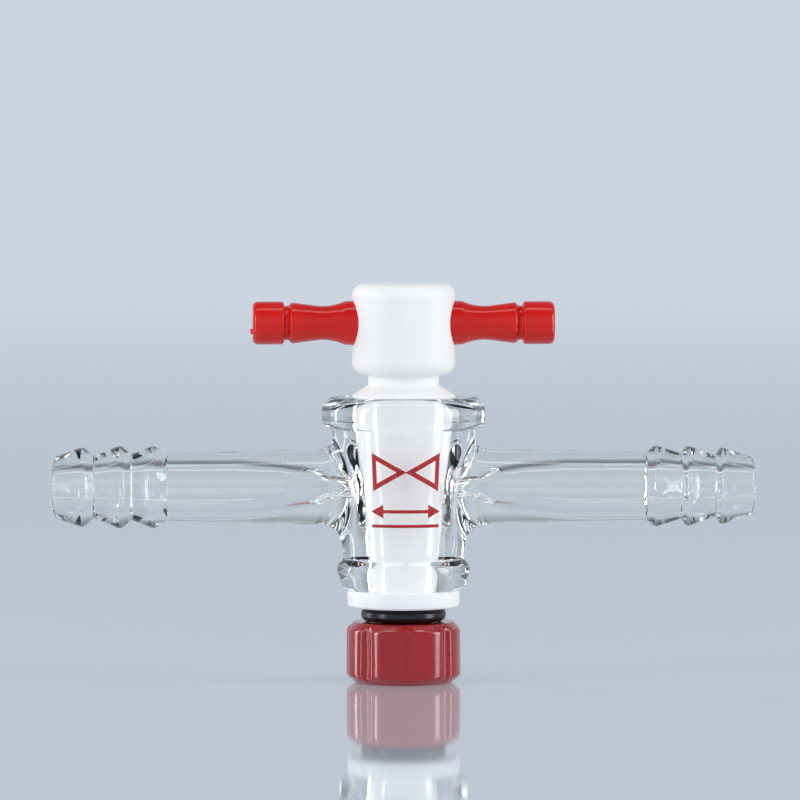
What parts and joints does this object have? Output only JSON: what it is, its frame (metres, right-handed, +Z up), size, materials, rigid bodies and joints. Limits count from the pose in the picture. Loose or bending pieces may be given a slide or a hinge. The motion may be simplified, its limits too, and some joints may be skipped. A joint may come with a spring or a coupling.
{
  "type": "glass stopcock",
  "caption": "Straight glass stopcock with barbed hose arms, a white key turned by a red bar handle, and a finger-grooved nut that holds the key from below.",
  "frame": {"origin": "centre of the nut's foot, on which the stopcock stands", "axes": "+Z up along the key, +X along the right arm, -Y towards the front"},
  "size_m": [0.1, 0.0234, 0.0569],
  "materials": {
    "glass": "clear borosilicate glass, flame-worked",
    "key": "turned PTFE",
    "handle": "moulded bright red",
    "washer": "cut PTFE",
    "o_ring": "smooth black",
    "nut": "moulded crimson, glossy"
  },
  "bodies": {
    "barrel": {"glass_body": "glass"},
    "key": {"key": "key", "handle": "handle"},
    "retainer": {"washer": "washer", "o_ring": "o_ring"},
    "nut": {"nut": "nut"}
  },
  "joints": [
    {"name": "key_turn", "type": "hinge", "parent": "barrel", "child": "key", "pos_m": [0, 0, 0.02795], "axis": [0, 0, 1], "continuous": true},
    {"name": "retainer_slide", "type": "slide", "parent": "key", "child": "retainer", "axis": [0, 0, -1], "range_m": [0, 0.00625]},
    {"name": "nut_turn", "type": "hinge", "parent": "retainer", "child": "nut", "pos_m": [0, 0, 0.004], "axis": [0, 0, -1], "range_deg": [0, 1800]}
  ],
  "couplings": [
    {"joint": "nut_turn", "follows": "retainer_slide", "rad_per_m": 5026.5}
  ]
}
